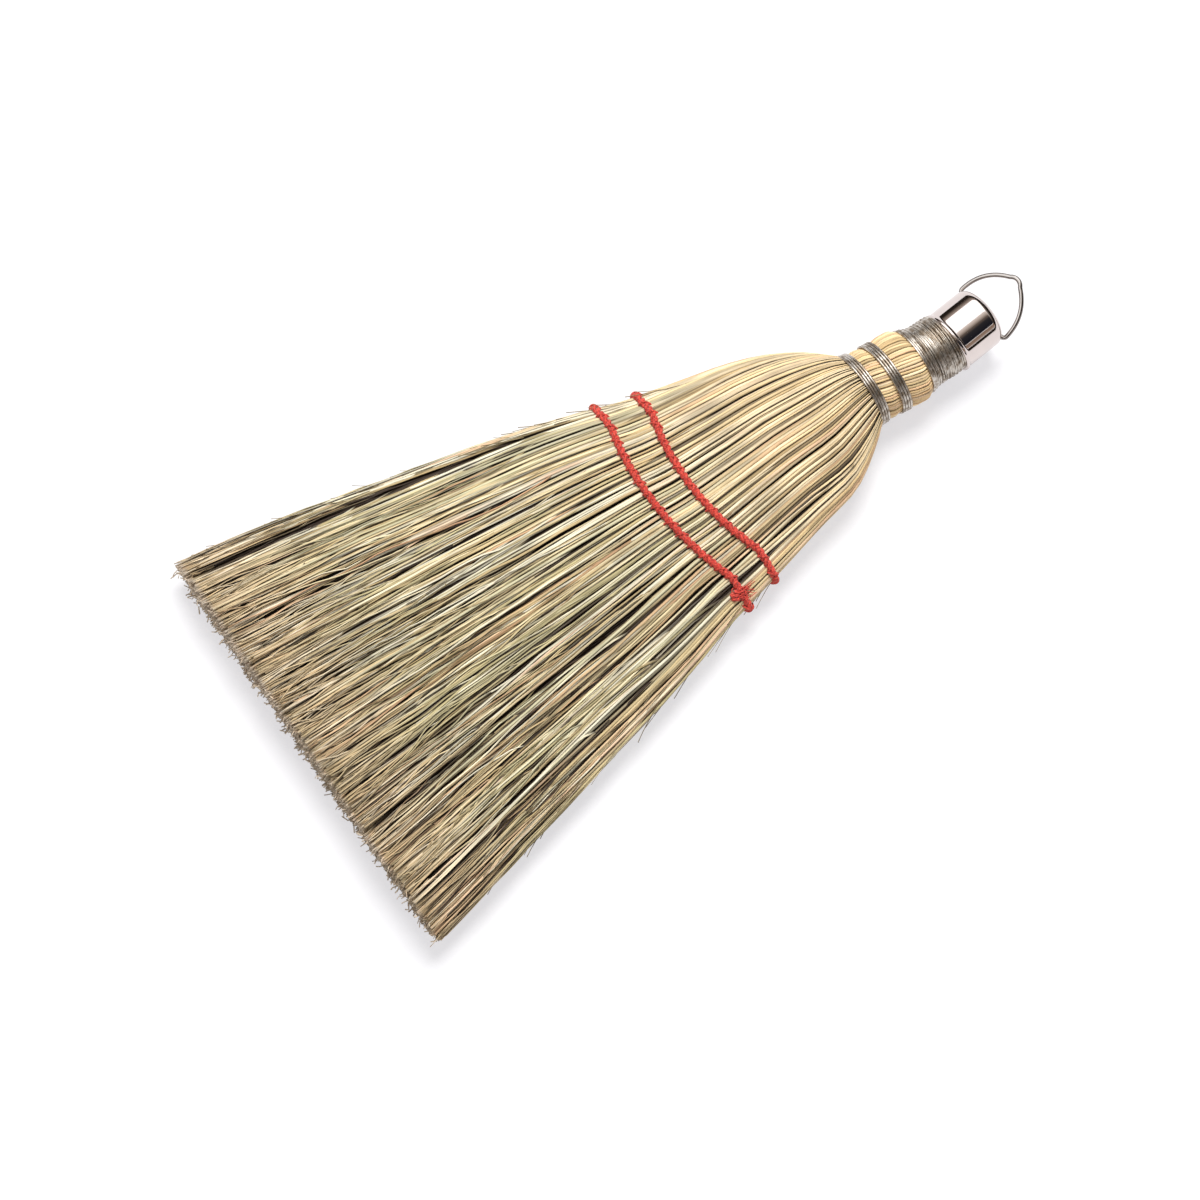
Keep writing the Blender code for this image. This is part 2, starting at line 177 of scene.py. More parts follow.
def add_piece(name, points, faces, finish, marks=None):
    """An object from points in millimetres and a list of face arrays, one for each face size."""
    mesh = bpy.data.meshes.new(name)
    mesh.vertices.add(len(points))
    mesh.vertices.foreach_set("co", (points * MM).astype(np.float32).ravel())
    corners = np.concatenate([group.ravel() for group in faces])
    sizes = np.concatenate([np.full(len(group), group.shape[1]) for group in faces])
    mesh.loops.add(len(corners))
    mesh.loops.foreach_set("vertex_index", corners.astype(np.int32))
    mesh.polygons.add(len(sizes))
    starts = np.concatenate([[0], np.cumsum(sizes)[:-1]]).astype(np.int32)
    mesh.polygons.foreach_set("loop_start", starts)
    mesh.update(calc_edges=True)
    mesh.shade_smooth()
    if marks is not None:
        layer = mesh.attributes.new("straw", "FLOAT_COLOR", "POINT")
        layer.data.foreach_set("color", marks.astype(np.float32).ravel())
    mesh.materials.append(finish)
    return placed(name, mesh)


def joined(groups):
    """Points, faces and marks of several lots of tubes as one mesh's arrays."""
    points = []
    marks = []
    faces = {}
    first = 0
    for rings, lot_marks in groups:
        count, steps, sides = rings.shape[:3]
        points.append(rings.reshape(-1, 3))
        marks.append(lot_marks.reshape(-1, lot_marks.shape[-1]))
        for lot in tube_faces(count, steps, sides):
            faces.setdefault(lot.shape[1], []).append(lot + first)
        first += count * steps * sides
    by_size = [np.concatenate(same) for same in faces.values()]
    return np.concatenate(points), by_size, np.concatenate(marks)


# Straw's finish. Dry broomcorn is a waxy golden tan at the stalks, khaki with green and red
# strands down the fan, and pink and grey at the cut tips. Each fibre has its own tone and fine
# streaks, and the mark on its points holds its tone, its place, its painted shade and its tint.
# The painted shade darkens fibres that lie deep and flanks that face away from the light.
STRAW_TONES = (
    (0.00, (0.300, 0.190, 0.085)),
    (0.15, (0.500, 0.365, 0.175)),
    (0.45, (0.680, 0.525, 0.275)),
    (0.75, (0.880, 0.735, 0.445)),
    (1.00, (0.990, 0.920, 0.700)),
)
STRAW_TINTS = {
    # the part of the mark that it follows, from and to where it comes in, its most, its colour
    "golden": ("place", (0.130, 0.230), 0.58, (0.95, 0.66, 0.33)),
    "green": ("tint", (0.52, 0.80), 0.66, (0.56, 0.51, 0.27)),
    "red": ("tint", (0.34, 0.10), 0.60, (0.82, 0.46, 0.27)),
    "pink": ("place", (0.055, 0.008), 0.42, (0.90, 0.62, 0.38)),
    "grey": ("place", (0.0040, 0.0012), 0.62, (0.82, 0.70, 0.60)),
}
GREEN_FADES = (0.215, 0.165)
# painted shade: near black, mixed in where fibres lie deep and where their flanks face away from
# the light
PAINTED_GROOVE_SHADE = (0.026, 0.013, 0.005)
STREAKS = (60.0, 34.0, 0.0)
STREAK_SPAN = (0.3, 0.7)
STREAK_LIGHT = (0.68, 1.20)
STREAK_ROUGHNESS = (0.68, 0.50)
STREAK_BUMP = (0.35, 0.0002)
STRAW_SPECULAR = 0.35


def nodes_of(owner):
    """A node adder and a linker for the tree of a material or world, and its nodes."""
    tree = owner.node_tree

    def add(kind, **settings):
        node = tree.nodes.new(kind)
        for key, value in settings.items():
            setattr(node, key, value)
        return node

    return add, tree.links.new, tree.nodes


def new_finish(name, roughness, metallic=0.0):
    """A new material, the node adder and linker for it, and its shader."""
    material = bpy.data.materials.new(name)
    material.use_nodes = True
    add, link, nodes = nodes_of(material)
    shader = nodes["Principled BSDF"]
    shader.inputs["Roughness"].default_value = roughness
    shader.inputs["Metallic"].default_value = metallic
    return material, add, link, shader


def mixed(add, link, factor, first, second):
    """Mixes two colours, each a socket or a plain colour, by a factor that is one too."""
    node = add("ShaderNodeMix", data_type="RGBA")
    for socket, value in ((0, factor), (6, first), (7, second)):
        if isinstance(value, bpy.types.NodeSocket):
            link(value, node.inputs[socket])
        elif isinstance(value, tuple):
            node.inputs[socket].default_value = (*value, 1.0)
        else:
            node.inputs[socket].default_value = value
    return node.outputs[2]


def ranged(add, link, value, low, high, to_low=0.0, to_high=1.0):
    """Carries a value from one range to another, eased at both ends of it."""
    node = add("ShaderNodeMapRange", interpolation_type="SMOOTHSTEP")
    link(value, node.inputs["Value"])
    node.inputs["From Min"].default_value = low
    node.inputs["From Max"].default_value = high
    node.inputs["To Min"].default_value = to_low
    node.inputs["To Max"].default_value = to_high
    return node.outputs["Result"]


def noise(add, link, scale, detail, vector=None):
    """Noise with this many grains to a metre of the object, or to a unit of the vector."""
    node = add("ShaderNodeTexNoise")
    link(vector or add("ShaderNodeTexCoord").outputs["Object"], node.inputs["Vector"])
    node.inputs["Scale"].default_value = scale
    node.inputs["Detail"].default_value = detail
    return node.outputs["Fac"]


def stretched(add, link, vector, scale):
    """A vector with each part scaled, so that a pattern is drawn out along one of them."""
    node = add("ShaderNodeMapping")
    node.inputs["Scale"].default_value = scale
    link(vector, node.inputs["Vector"])
    return node.outputs["Vector"]


def bumped(add, link, shader, height, strength, distance):
    """Tilts the shader's surface by a pattern, whose full height is the distance in metres."""
    bump = add("ShaderNodeBump")
    bump.inputs["Strength"].default_value = strength
    bump.inputs["Distance"].default_value = distance
    link(height, bump.inputs["Height"])
    link(bump.outputs["Normal"], shader.inputs["Normal"])


def straw_finish():
    """The tone's colour, then each tint over it, then the streaks' light, and painted shade where
    deep.
    """
    material, add, link, shader = new_finish("straw_fibre", 0.5)
    mark = add("ShaderNodeAttribute", attribute_name="straw")
    split = add("ShaderNodeSeparateColor")
    link(mark.outputs["Color"], split.inputs["Color"])
    tone, place, dark = split.outputs
    ramp = add("ShaderNodeValToRGB")
    elements = ramp.color_ramp.elements
    elements.remove(elements[1])
    for index, (position, colour) in enumerate(STRAW_TONES):
        element = elements[0] if index == 0 else elements.new(position)
        element.position = position
        element.color = (*colour, 1.0)
    link(tone, ramp.inputs["Fac"])
    colour = ramp.outputs["Color"]
    parts = {"place": place, "tint": mark.outputs["Alpha"]}
    for name, (follows, span, most, tint) in STRAW_TINTS.items():
        share = ranged(add, link, parts[follows], *span, 0.0, most)
        if name == "green":
            product = add("ShaderNodeMath", operation="MULTIPLY")
            link(share, product.inputs[0])
            link(ranged(add, link, place, *GREEN_FADES), product.inputs[1])
            share = product.outputs[0]
        colour = mixed(add, link, share, colour, tint)
    streaks = noise(add, link, 1.0, 3.0, stretched(add, link, mark.outputs["Vector"], STREAKS))
    bright = add("ShaderNodeVectorMath", operation="SCALE")
    link(colour, bright.inputs[0])
    link(ranged(add, link, streaks, *STREAK_SPAN, *STREAK_LIGHT), bright.inputs["Scale"])
    # painted shade: the groove colour is mixed in by the dark part of the mark
    deep = ranged(add, link, dark, 0.0, 1.0)
    link(mixed(add, link, deep, bright.outputs["Vector"], PAINTED_GROOVE_SHADE), shader.inputs["Base Color"])
    bumped(add, link, shader, streaks, *STREAK_BUMP)
    rough = ranged(add, link, streaks, *STREAK_SPAN, *STREAK_ROUGHNESS)
    link(rough, shader.inputs["Roughness"])
    shader.inputs["Specular IOR Level"].default_value = STRAW_SPECULAR
    return material


straw = straw_finish()


# The fibres, cut to length at the tips: stalks that narrow down the fan, branches that start
# under them, and fine twigs that fill the last part. They lie in skins, one under the other,
# over a loose inside, and draw together into locks with dark gaps between them. The gaps are
# dark from real shadow and from painted shade on the deep fibres and their flanks.
SEED = 7
TO_TIPS = np.array([-1.0, 0, 0])
UP = np.array([0.0, 0, 1])
ROWS_AT = (162.4, 177.6)
ROW_SLANT = (-1.8, -1.1)
ROW_BOW = 5.8
ROW_PRESS = 0.35
ROW_PRESS_REACH = 3.0
SEWN_AT = 172
SEWN_HOLD = 0.7
SEWN_REACH = 16.0
LOOSE_AT = 60
LOCKS_IN = (244, 190)
LOCK_LIFT = 0.36
LOCK_SLOPE = 0.012
LOCK_END = 0.8
FINE_LOCK_END = 0.5
LOCK_END_MOST = 1.5
CUT_SLANT = 1.0
CUT_BACK = 0.9
CUT_TAIL = 1.1
DEPTH_STRAY = (-0.3, 0.5)
BURIED = 2.8
BURIED_SHARE = 0.14
NECK_FROM = 240
HOME = 5.0
HALF_FAN = (89, 11)
EDGE_CALM = 0.6
KINK_MOST = 1.8
KINK_BENDS = (1.0, -1.7, 1.3)
# Painted shade: the depth where a fibre starts to darken and the span to full dark, the share of a
# lock's lift left out of it, where a turned flank starts to darken, and the share of the shade kept
# at the cut tips and over how many millimetres it comes back.
DARK_FROM = 0.35
DARK_AT = 1.2
LIFT_LIT = 0.8
FLANK_FROM = 0.75
CUT_DARK = 0.12
CUT_DARK_TO = 9
SIDE_SWAY = ((85, 0.5), (34, 0.3), (15, 0.16))
UP_SWAY = ((70, 0.5), (26, 0.3))
TINT_SWAY = ((120, 1.0), (50, 0.6))
rng = np.random.default_rng(SEED)


def row_place(row, across):
    """Where a sewn row crosses the straw: slanting, and bowed towards the tips by a square law."""
    return ROWS_AT[row] + ROW_SLANT[row] * across + ROW_BOW * across**2


def top_share(place):
    """Share of the section's outline that is its top: its chord, over twice top and edge."""
    corner = np.sqrt(1 - eased(ROUNDNESS, place) / 2)
    half_width = eased(WIDTHS, place) / 2
    top = half_width * corner
    edge = np.hypot(half_width * (1 - corner), eased(THICKS, place) / 2 * corner)
    return top / (top + edge) / 2


def rim_sides(side):
    """Across and through at a count of sides: along the top, the right edge, bottom and left."""
    across = np.interp(side, (0, 1, 2, 3, 4), (1, -1, -1, 1, 1))
    through = np.interp(side, (0, 1, 2, 3, 4), (1, 1, -1, -1, 1))
    return across, through


def on_rim(turn, place):
    """Across and through on the rim, so that even turns lie evenly round the section anywhere.

    A quarter turn is the middle of the top. From the top's start, the count of sides goes up
    from nought, and each side takes its share of the turn.
    """
    share = top_share(place)
    gone = (turn - 0.25 + share / 2) % 1
    half_gone = gone % 0.5
    along = np.where(half_gone < share, half_gone / share, 1 + (half_gone - share) / (0.5 - share))
    return rim_sides((2 * np.floor(gone / 0.5) + along) % 4)


def under_rim(turn, place, depth):
    """A point at a depth in millimetres under the rim, and its place across."""
    across, through = on_rim(turn, place)
    across = across * (1 - depth / (eased(WIDTHS, place) / 2))
    through = through * (1 - depth / (eased(THICKS, place) / 2))
    return in_straw(place, across, through), across


def new_locks(count, hold, shortest, longest):
    """Neighbouring lots of fibres round the rim, which draw together more and less on the way."""
    between = np.arange(1, count) + rng.uniform(-0.35, 0.35, count - 1)
    edges = np.concatenate([[0], between / count, [1]])
    return {
        "edges": edges,
        "middles": (edges[1:] + edges[:-1]) / 2,
        "hold": hold * rng.uniform(0.4, 1.3, count),
        "length": rng.uniform(shortest, longest, count),
        "start": rng.uniform(0, np.pi, count),
        "lift": rng.normal(0, 1, count),
        "tone": rng.normal(0, 1, count),
        "tint": rng.normal(0, 1, count),
    }


LOCKS = (new_locks(58, 0.20, 90, 200), new_locks(200, 0.66, 45, 110))


def lock_of(locks, turn):
    return np.clip(np.searchsorted(locks["edges"], turn % 1) - 1, 0, len(locks["middles"]) - 1)


def drawn_in(turn, place):
    """A fibre's pull to its lock's middle: the distance times a hold that swells and fades."""
    total = 0.0
    for locks in LOCKS:
        own = lock_of(locks, turn)
        swell = np.sin(np.pi * place / locks["length"][own] + locks["start"][own]) ** 2
        total = total + (locks["middles"][own] - turn) * locks["hold"][own] * (0.25 + 0.75 * swell)
    near_row = np.exp(-(((place - SEWN_AT) / SEWN_REACH) ** 2))
    return total * smooth_step(place, *LOCKS_IN) * (1 - SEWN_HOLD * near_row)


def waves(count, sway, place):
    """A sum of sines along the broom, each with its own length, size and start per fibre."""
    total = 0.0
    for length, size in sway:
        wave = rng.uniform(0.7, 1.3, (count, 1)) * length
        start = rng.uniform(0, 2 * np.pi, (count, 1))
        own_size = size * rng.normal(0, 0.7, (count, 1))
        total = total + own_size * np.sin(2 * np.pi * place / wave + start)
    return total


def marked(rings, outward, tone, place, dark, tint):
    """Marks of each point: painted shade on deep fibres and the flanks between them, less at the
    cut.
    """
    # painted shade on the flanks: the further a side turns from the open side, the darker it is
    facing = unit(rings - rings.mean(axis=2, keepdims=True))
    open_side = unit(outward + UP / 2)
    lit = (facing * open_side[..., None, :]).sum(axis=-1)
    flank = np.maximum(0, FLANK_FROM - lit)
    # the cut tips keep only a share of the painted shade
    open_end = CUT_DARK + (1 - CUT_DARK) * smooth_step(place, 0, CUT_DARK_TO)
    shade = np.clip((dark[..., None] + flank) * open_end[..., None], 0, 1)
    parts = (tone[..., None], (place * MM)[..., None], shade, tint[..., None])
    return np.stack([np.broadcast_to(part, rings.shape[:3]) for part in parts], axis=-1)


def skin(count, depth, root, width, flat, steps, sides, spread, tone,
         gather=1.0, sway=1.0, kink=0.0):
    """One skin of fibres round the straw: rings and marks, and the home place of each.

    A fibre follows its place on the rim from root to tip at its depth, with waves, a slant and
    kinks that grow away from the sewn rows, and its width runs through the given stages.
    """
    each = (count, 1)
    turn = (np.arange(count) + rng.uniform(-0.45, 0.45, count))[:, None] / count % 1
    coarse, fine = (lock_of(locks, turn) for locks in LOCKS)
    share = np.linspace(0, 1, steps)[None] ** gather
    start = rng.uniform(*root, each)
    home, _ = under_rim(turn, np.full(each, HOME), depth)
    lock_end = LOCK_END * np.clip(LOCKS[0]["lift"][coarse], -LOCK_END_MOST, LOCK_END_MOST)
    fine_end = FINE_LOCK_END * np.clip(LOCKS[1]["tint"][fine], -LOCK_END_MOST, LOCK_END_MOST)
    end = CUT_SLANT * (1 - home[..., 1] / (WIDTHS[0] / 2)) + CUT_BACK + lock_end
    end = end + rng.exponential(CUT_TAIL, each) + fine_end
    place = start + (end - start) * share
    loose = smooth_step(place, SEWN_AT, LOOSE_AT)
    buried = BURIED * np.clip(1 - share / BURIED_SHARE, 0, 1) ** 2 * (root[0] < NECK_FROM)
    lifted = loose * (LOCK_LIFT * LOCKS[0]["lift"][coarse] + LOCK_LIFT * LOCKS[1]["lift"][fine])
    depth_here = depth + buried - lifted + rng.uniform(*DEPTH_STRAY, each)
    here = turn + drawn_in(turn, place)
    point, across = under_rim(here, place, depth_here)
    ahead, _ = under_rim(here + 0.002, place, depth_here)
    behind, _ = under_rim(here - 0.002, place, depth_here)
    cross = unit(ahead - behind)
    outward = np.cross(TO_TIPS, cross)
    slope = rng.normal(0, spread, each) + LOCK_SLOPE * LOCKS[1]["tone"][fine]
    freed = np.maximum(0, np.minimum(start, SEWN_AT) - place)
    lateral = slope * freed + sway * (0.25 + loose) * waves(count, SIDE_SWAY, place)
    for turn_back in KINK_BENDS:
        bent = turn_back * rng.normal(0, kink, each)
        bend_at = end + (start - end) * rng.uniform(0.1, 0.9, each)
        strayed = bent * np.maximum(0, bend_at - place)
        lateral = lateral + KINK_MOST * np.tanh(strayed / KINK_MOST)
    height = sway * (0.2 + 0.8 * loose) * waves(count, UP_SWAY, place)
    for row in (0, 1):
        from_row = (place - row_place(row, across)) / ROW_PRESS_REACH
        height = height - ROW_PRESS * np.exp(-(from_row**2))
    lateral = lateral * (1 - EDGE_CALM * smooth_step(np.abs(across), 0.9, 1.0))
    path = point + cross * lateral[..., None] + outward * height[..., None]
    stages, sizes = zip(*width)
    wide = np.interp(place, stages, sizes) * rng.uniform(0.78, 1.25, each) / 2
    wide = wide * np.clip(share / 0.06 + 0.25, 0, 1)
    thick = wide * rng.uniform(*flat, each)
    path[..., 2] = np.maximum(path[..., 2], 1.3 * wide + 0.1)
    roll = np.pi / 2 - np.pi / sides + rng.normal(0, 0.25, count)
    rings = sweep(path, outward, wide, thick, sides, roll)
    own = rng.normal(tone, 0.28, each)
    own = own + 0.08 * LOCKS[0]["tone"][coarse] + 0.08 * LOCKS[1]["tone"][fine]
    tint = 0.5 + rng.normal(0, 0.14, each)
    tint = tint + 0.11 * LOCKS[0]["tint"][coarse] + 0.06 * LOCKS[1]["lift"][fine]
    tint = tint + 0.12 * waves(count, TINT_SWAY, place)
    # painted shade by depth: deeper fibres are darker, and a lock's lift lightens them only a
    # little
    dark = np.clip((depth_here + LIFT_LIT * lifted - DARK_FROM) / DARK_AT, 0, 1)
    marks = marked(rings, outward, np.clip(own, 0, 1), place, dark, np.clip(tint, 0, 1))
    home_across, home_through = on_rim(turn[:, 0], HOME)
    home_across = home_across * (1 - depth / HALF_FAN[0])
    return rings, marks, home_across, home_through * (1 - depth / HALF_FAN[1])


STALKS = {
    "count": 126, "root": (256, 258), "flat": (0.7, 0.9), "steps": 30, "sides": 6,
    "spread": 0.007, "gather": 1.5, "sway": 0.5,
    "width": (
        (0, 0.8), (60, 0.95), (120, 1.1), (172, 1.25), (205, 1.42), (232, 1.2), (246, 0.95),
        (256, 0.78),
    ),
}
BRANCHES = {
    "count": 134, "root": (150, 228), "flat": (0.7, 1.0), "steps": 22, "sides": 4,
    "spread": 0.012, "tone": 0.60, "width": ((0, 0.75), (90, 1.0), (172, 1.15), (235, 1.1)),
}
TWIGS = {
    "count": 230, "root": (60, 150), "flat": (0.8, 1.1), "steps": 24, "sides": 4,
    "spread": 0.022, "tone": 0.54, "kink": 0.06, "width": ((0, 0.62), (60, 0.74), (120, 0.8)),
}
LOOSE = {
    "flat": (0.8, 1.0), "sides": 3, "spread": 0.05, "tone": 0.66,
    "width": ((0, 0.5), (120, 0.65)),
}
lots = [skin(depth=depth, tone=tone, **STALKS) for depth, tone in ((0.3, 0.90), (0.95, 0.78))]
lots += [skin(depth=depth, **BRANCHES) for depth in (0.4, 1.1, 2.0, 3.0)]
lots += [skin(depth=depth, **TWIGS) for depth in (0.2, 0.9, 1.8, 2.8, 3.8)]
lots.append(skin(count=170, depth=0.0, root=(50, 165), steps=26, kink=0.08, **LOOSE))
lots.append(skin(count=280, depth=0.1, root=(12, 110), steps=20, kink=0.20, **LOOSE))

INSIDE_SWAY = ((60, 0.9), (25, 0.4))
INSIDE_LOW = 0.6
FRIZZ_SWAY = ((12, 1.7), (5, 1.2))
FRIZZ_FROM = 12
THIN_LOW = 0.4
HAIR_SIZES = np.array([0.22, 0.28, 0.36])


def thin_fibres(path, wide, roll=0.0):
    """Three-sided tubes round the paths, and the outward directions, which are all upwards."""
    outward = np.broadcast_to(UP, path.shape)
    return sweep(path, outward, wide, wide, 3, roll), outward


def strewn_fibres(path, wide, place, across, through, tones, tints, dark):
    """Thin fibres along the paths, each with its own roll, tone and tint, and their homes."""
    count = len(path)
    rings, outward = thin_fibres(path, wide, rng.uniform(0, 2 * np.pi, count))
    tone = np.clip(rng.normal(*tones, (count, 1)), 0, 1)
    tint = rng.uniform(*tints, (count, 1))
    marks = marked(rings, outward, tone, place, np.full((1, 1), dark), tint)
    return rings, marks, across[:, 0], through[:, 0]


def inside_lot(count, root, steps):
    """Fibres that fill the inside of the fan, evenly strewn over its section."""
    across = rng.uniform(-0.97, 0.97, (count, 1))
    through = rng.uniform(-0.8, 0.8, (count, 1))
    share = np.linspace(0, 1, steps)[None]
    start = rng.uniform(*root, (count, 1))
    end = CUT_SLANT * (1 - across) + 0.4 + rng.exponential(1.3, (count, 1))
    place = start + (end - start) * share
    path = in_straw(place, across, through)
    loose = smooth_step(place, 150, 20)
    for axis in (1, 2):
        path[..., axis] += loose * waves(count, INSIDE_SWAY, place)
    path[..., 2] = np.maximum(path[..., 2], INSIDE_LOW)
    wide = np.interp(place, (0, 120), (0.72, 0.85)) * rng.uniform(0.75, 1.3, (count, 1)) / 2
    # the inside fibres are painted in deep shade
    return strewn_fibres(path, wide, place, across, through, (0.55, 0.25), (0.1, 0.9), dark=0.9)


def frizz(count):
    """Short curled ends at the cut: the path sways in two sines that swell towards its tip."""
    across = rng.uniform(-1.0, 1.0, (count, 1))
    through = rng.uniform(-0.95, 0.95, (count, 1))
    share = np.linspace(0, 1, 12)[None]
    end = CUT_SLANT * (1 - across) + 0.9 - rng.exponential(0.85, (count, 1))
    place = FRIZZ_FROM + (end - FRIZZ_FROM) * share
    path = in_straw(place, across, through)
    for axis in (1, 2):
        path[..., axis] += share**2 * waves(count, FRIZZ_SWAY, place)
    path[..., 2] = np.maximum(path[..., 2], THIN_LOW)
    wide = np.broadcast_to(rng.uniform(0.32, 0.68, (count, 1)) / 2, path.shape[:2])
    return strewn_fibres(path, wide, place, across, through, (0.6, 0.3), (0.2, 0.8), dark=0.0)


def stray_hairs(start, side, length, away, curl, rise):
    """Single hairs at the two edges: they leave the outline by a slope and a square-law curl."""
    count = len(start)
    share = np.linspace(0, 1, 14)[None]
    place = start - length * share
    across = side * 0.985
    through = rise / 9
    path = in_straw(np.maximum(place, 0), across, through)
    path[..., 0] = place + TIPS_X
    path[..., 1] += side * length * (away * share + curl * share**2)
    path[..., 2] = np.maximum(path[..., 2] + 0.3 * rise * share, THIN_LOW)
    sizes = HAIR_SIZES[np.arange(count) % len(HAIR_SIZES)][:, None]
    rings, outward = thin_fibres(path, np.broadcast_to(sizes / 2, path.shape[:2]))
    tone = np.linspace(0.1, 0.75, count)[:, None]
    # a little painted shade on each hair
    marks = marked(rings, outward, tone, place, np.full((1, 1), 0.2), np.full((1, 1), 0.5))
    return rings, marks, across[:, 0], through[:, 0]


lots.append(inside_lot(count=3000, root=(60, 130), steps=8))
lots.append(frizz(count=700))
HAIRS = (170, 1)
lots.append(stray_hairs(
    start=rng.uniform(22, 200, HAIRS),
    side=np.where(rng.random(HAIRS) < 0.6, 1.0, -1.0),
    length=rng.uniform(6, 22, HAIRS),
    away=rng.uniform(0.0, 0.12, HAIRS),
    curl=rng.normal(0.0, 0.10, HAIRS),
    rise=rng.uniform(-4, 6, HAIRS),
))
LONG_HAIRS = np.array([
    # start, side, length, away, curl, rise
    (34.0, 1.0, 30.0, 0.00, 0.05, 4.0),
    (22.0, 1.0, 21.0, 0.02, 0.05, 5.0),
    (208.0, 1.0, 30.0, 0.02, 0.10, 5.0),
    (182.0, 1.0, 18.0, 0.05, 0.10, 4.0),
    (178.0, -1.0, 24.0, 0.01, 0.10, 3.0),
    (30.0, -1.0, 31.0, 0.02, 0.06, 2.0),
    (112.0, -1.0, 30.0, 0.03, 0.09, 2.0),
])
lots.append(stray_hairs(*(column[:, None] for column in LONG_HAIRS.T)))

HANDFULS = {"right": (-2, -1 / 3), "middle": (-1 / 3, 1 / 3), "left": (1 / 3, 2)}
LAYERS = {"back_cover": (-2, -3 / 7), "inside": (-3 / 7, 3 / 7), "front_cover": (3 / 7, 2)}
for layer, (bottom, top) in LAYERS.items():
    for side, (right, left) in HANDFULS.items():
        chosen = []
        for rings, marks, across, through in lots:
            own = (across >= right) & (across < left) & (through >= bottom) & (through < top)
            if own.any():
                chosen.append((rings[own], marks[own]))
        points, faces, marks = joined(chosen)
        node = f"{layer}_{side}"
        piece = add_piece(f"straw_{node}", points, faces, straw, marks)
        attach(piece, "broom")
        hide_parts(node)

CORE_SPAN = (40, 290)
CORE_STEPS = 50
CORE_SIDES = 64
CORE_DEPTH = 4.4


def painted_shade_core():
    """Painted shade under the fibres: a dark closed form of the section's rings, drawn in by the
    core's depth.
    """
    place = np.linspace(*CORE_SPAN, CORE_STEPS)[:, None]
    turn = np.linspace(0, 1, CORE_SIDES, endpoint=False)[None]
    points, _ = under_rim(turn, place, np.full((1, 1), CORE_DEPTH))
    # full painted shade over a low tone
    marks = np.stack(np.broadcast_arrays(0.1, place * MM, np.ones((1, CORE_SIDES)), 0.5), axis=-1)
    return points[::-1], marks[::-1]


core_points, core_marks = painted_shade_core()
core_faces = tube_faces(1, CORE_STEPS, CORE_SIDES)
core = add_piece(
    "painted_shade_core", core_points.reshape(-1, 3), core_faces, straw, core_marks.reshape(-1, 4)
)
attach(core, "broom")


# The neck's stalks. Narrow split stalks stand side by side round the neck, a little slanted,
# and show as ribs between the wire bands. Wire pinches them, so they swell in between.
RIBS = 72
RIB_THICK = 1.2
RIB_SPAN = (296, 253.6)
RIB_SLANT = 0.011
RIB_SLANT_FROM = 270
NECK_MIDDLE = MIDDLES[-1]
NECK = np.array([
    # place, radius
    (250.0, 16.6), (253, 15.2), (255.3, 14.7), (257.5, 14.5), (260, 14.95), (262.6, 14.4),
    (265, 14.3), (267.4, 14.45), (269.5, 15.1), (272.5, 15.3), (275.6, 14.9), (277.4, 13.4),
    (291, 11.2), (294, 10.9), (296, 10.2),
])
NECK_PLACES, NECK_RADII = NECK.T


def neck_radius(place):
    """Radius of the bound neck: pinched under each band and swollen between."""
    return eased(NECK_RADII, place, NECK_PLACES)


def round_neck(place, angle, radius):
    """A point round the neck's middle line: angle runs from the top over the right side."""
    y = middle_line(place) - radius * np.sin(angle)
    z = NECK_MIDDLE + radius * np.cos(angle)
    return np.stack(np.broadcast_arrays(place + TIPS_X, y, z), axis=-1)


def ribs(depth, offset):
    """One ring of split stalks at a depth under the surface, turned on by a part of their pitch."""
    place = np.linspace(*RIB_SPAN, 44)[None]
    angle = 2 * np.pi * (np.arange(RIBS) + offset + rng.uniform(-0.14, 0.14, RIBS))[:, None] / RIBS
    angle = angle + (place - RIB_SLANT_FROM) * rng.normal(RIB_SLANT, 0.0018, (RIBS, 1))
    radius = neck_radius(place) - RIB_THICK / 2 - depth + rng.uniform(-0.1, 0.06, (RIBS, 1))
    path = round_neck(place, angle, radius)
    outward = unit(path - round_neck(place, angle, 0 * radius))
    wide = np.pi * radius / RIBS * rng.uniform(0.86, 1.04, (RIBS, 1))
    rings = sweep(path, outward, wide, np.full_like(wide, RIB_THICK / 2), 8)
    tone = np.clip(rng.normal(0.60, 0.22, (RIBS, 1)), 0, 1)
    tint = np.clip(rng.normal(0.35, 0.15, (RIBS, 1)), 0, 1)
    # painted shade: the lower ring of stalks is darkened by its depth
    return rings, marked(rings, outward, tone, place, np.full((1, 1), depth), tint)


points, faces, marks = joined([ribs(0.0, 0.0), ribs(0.6, 0.5)])
neck_ribs = add_piece("neck_stalks", points, faces, straw, marks)
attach(neck_ribs, "broom")


# The binding wire. Tinned steel wire a millimetre thick is wound close round the stalks: two
# narrow bands, and a wide winding that tapers towards the cap and is crossed by two thin layers.
WIRE = 1.0
CROSS_WIRE = 0.6
BANDS_AT = (255.0, 265.0)
BAND_PITCH = 1.08
BAND_TURNS = 4
WINDING_FROM = 277.0
WINDING_TO = 294.4
TURN_STEPS = 48
TINNED = (0.60, 0.555, 0.50)
STAINED = (0.29, 0.235, 0.18)
STAIN_SCALE = 330.0
GRAIN_SCALE = 1400.0
GRAIN_BUMP = (0.35, 0.0002)


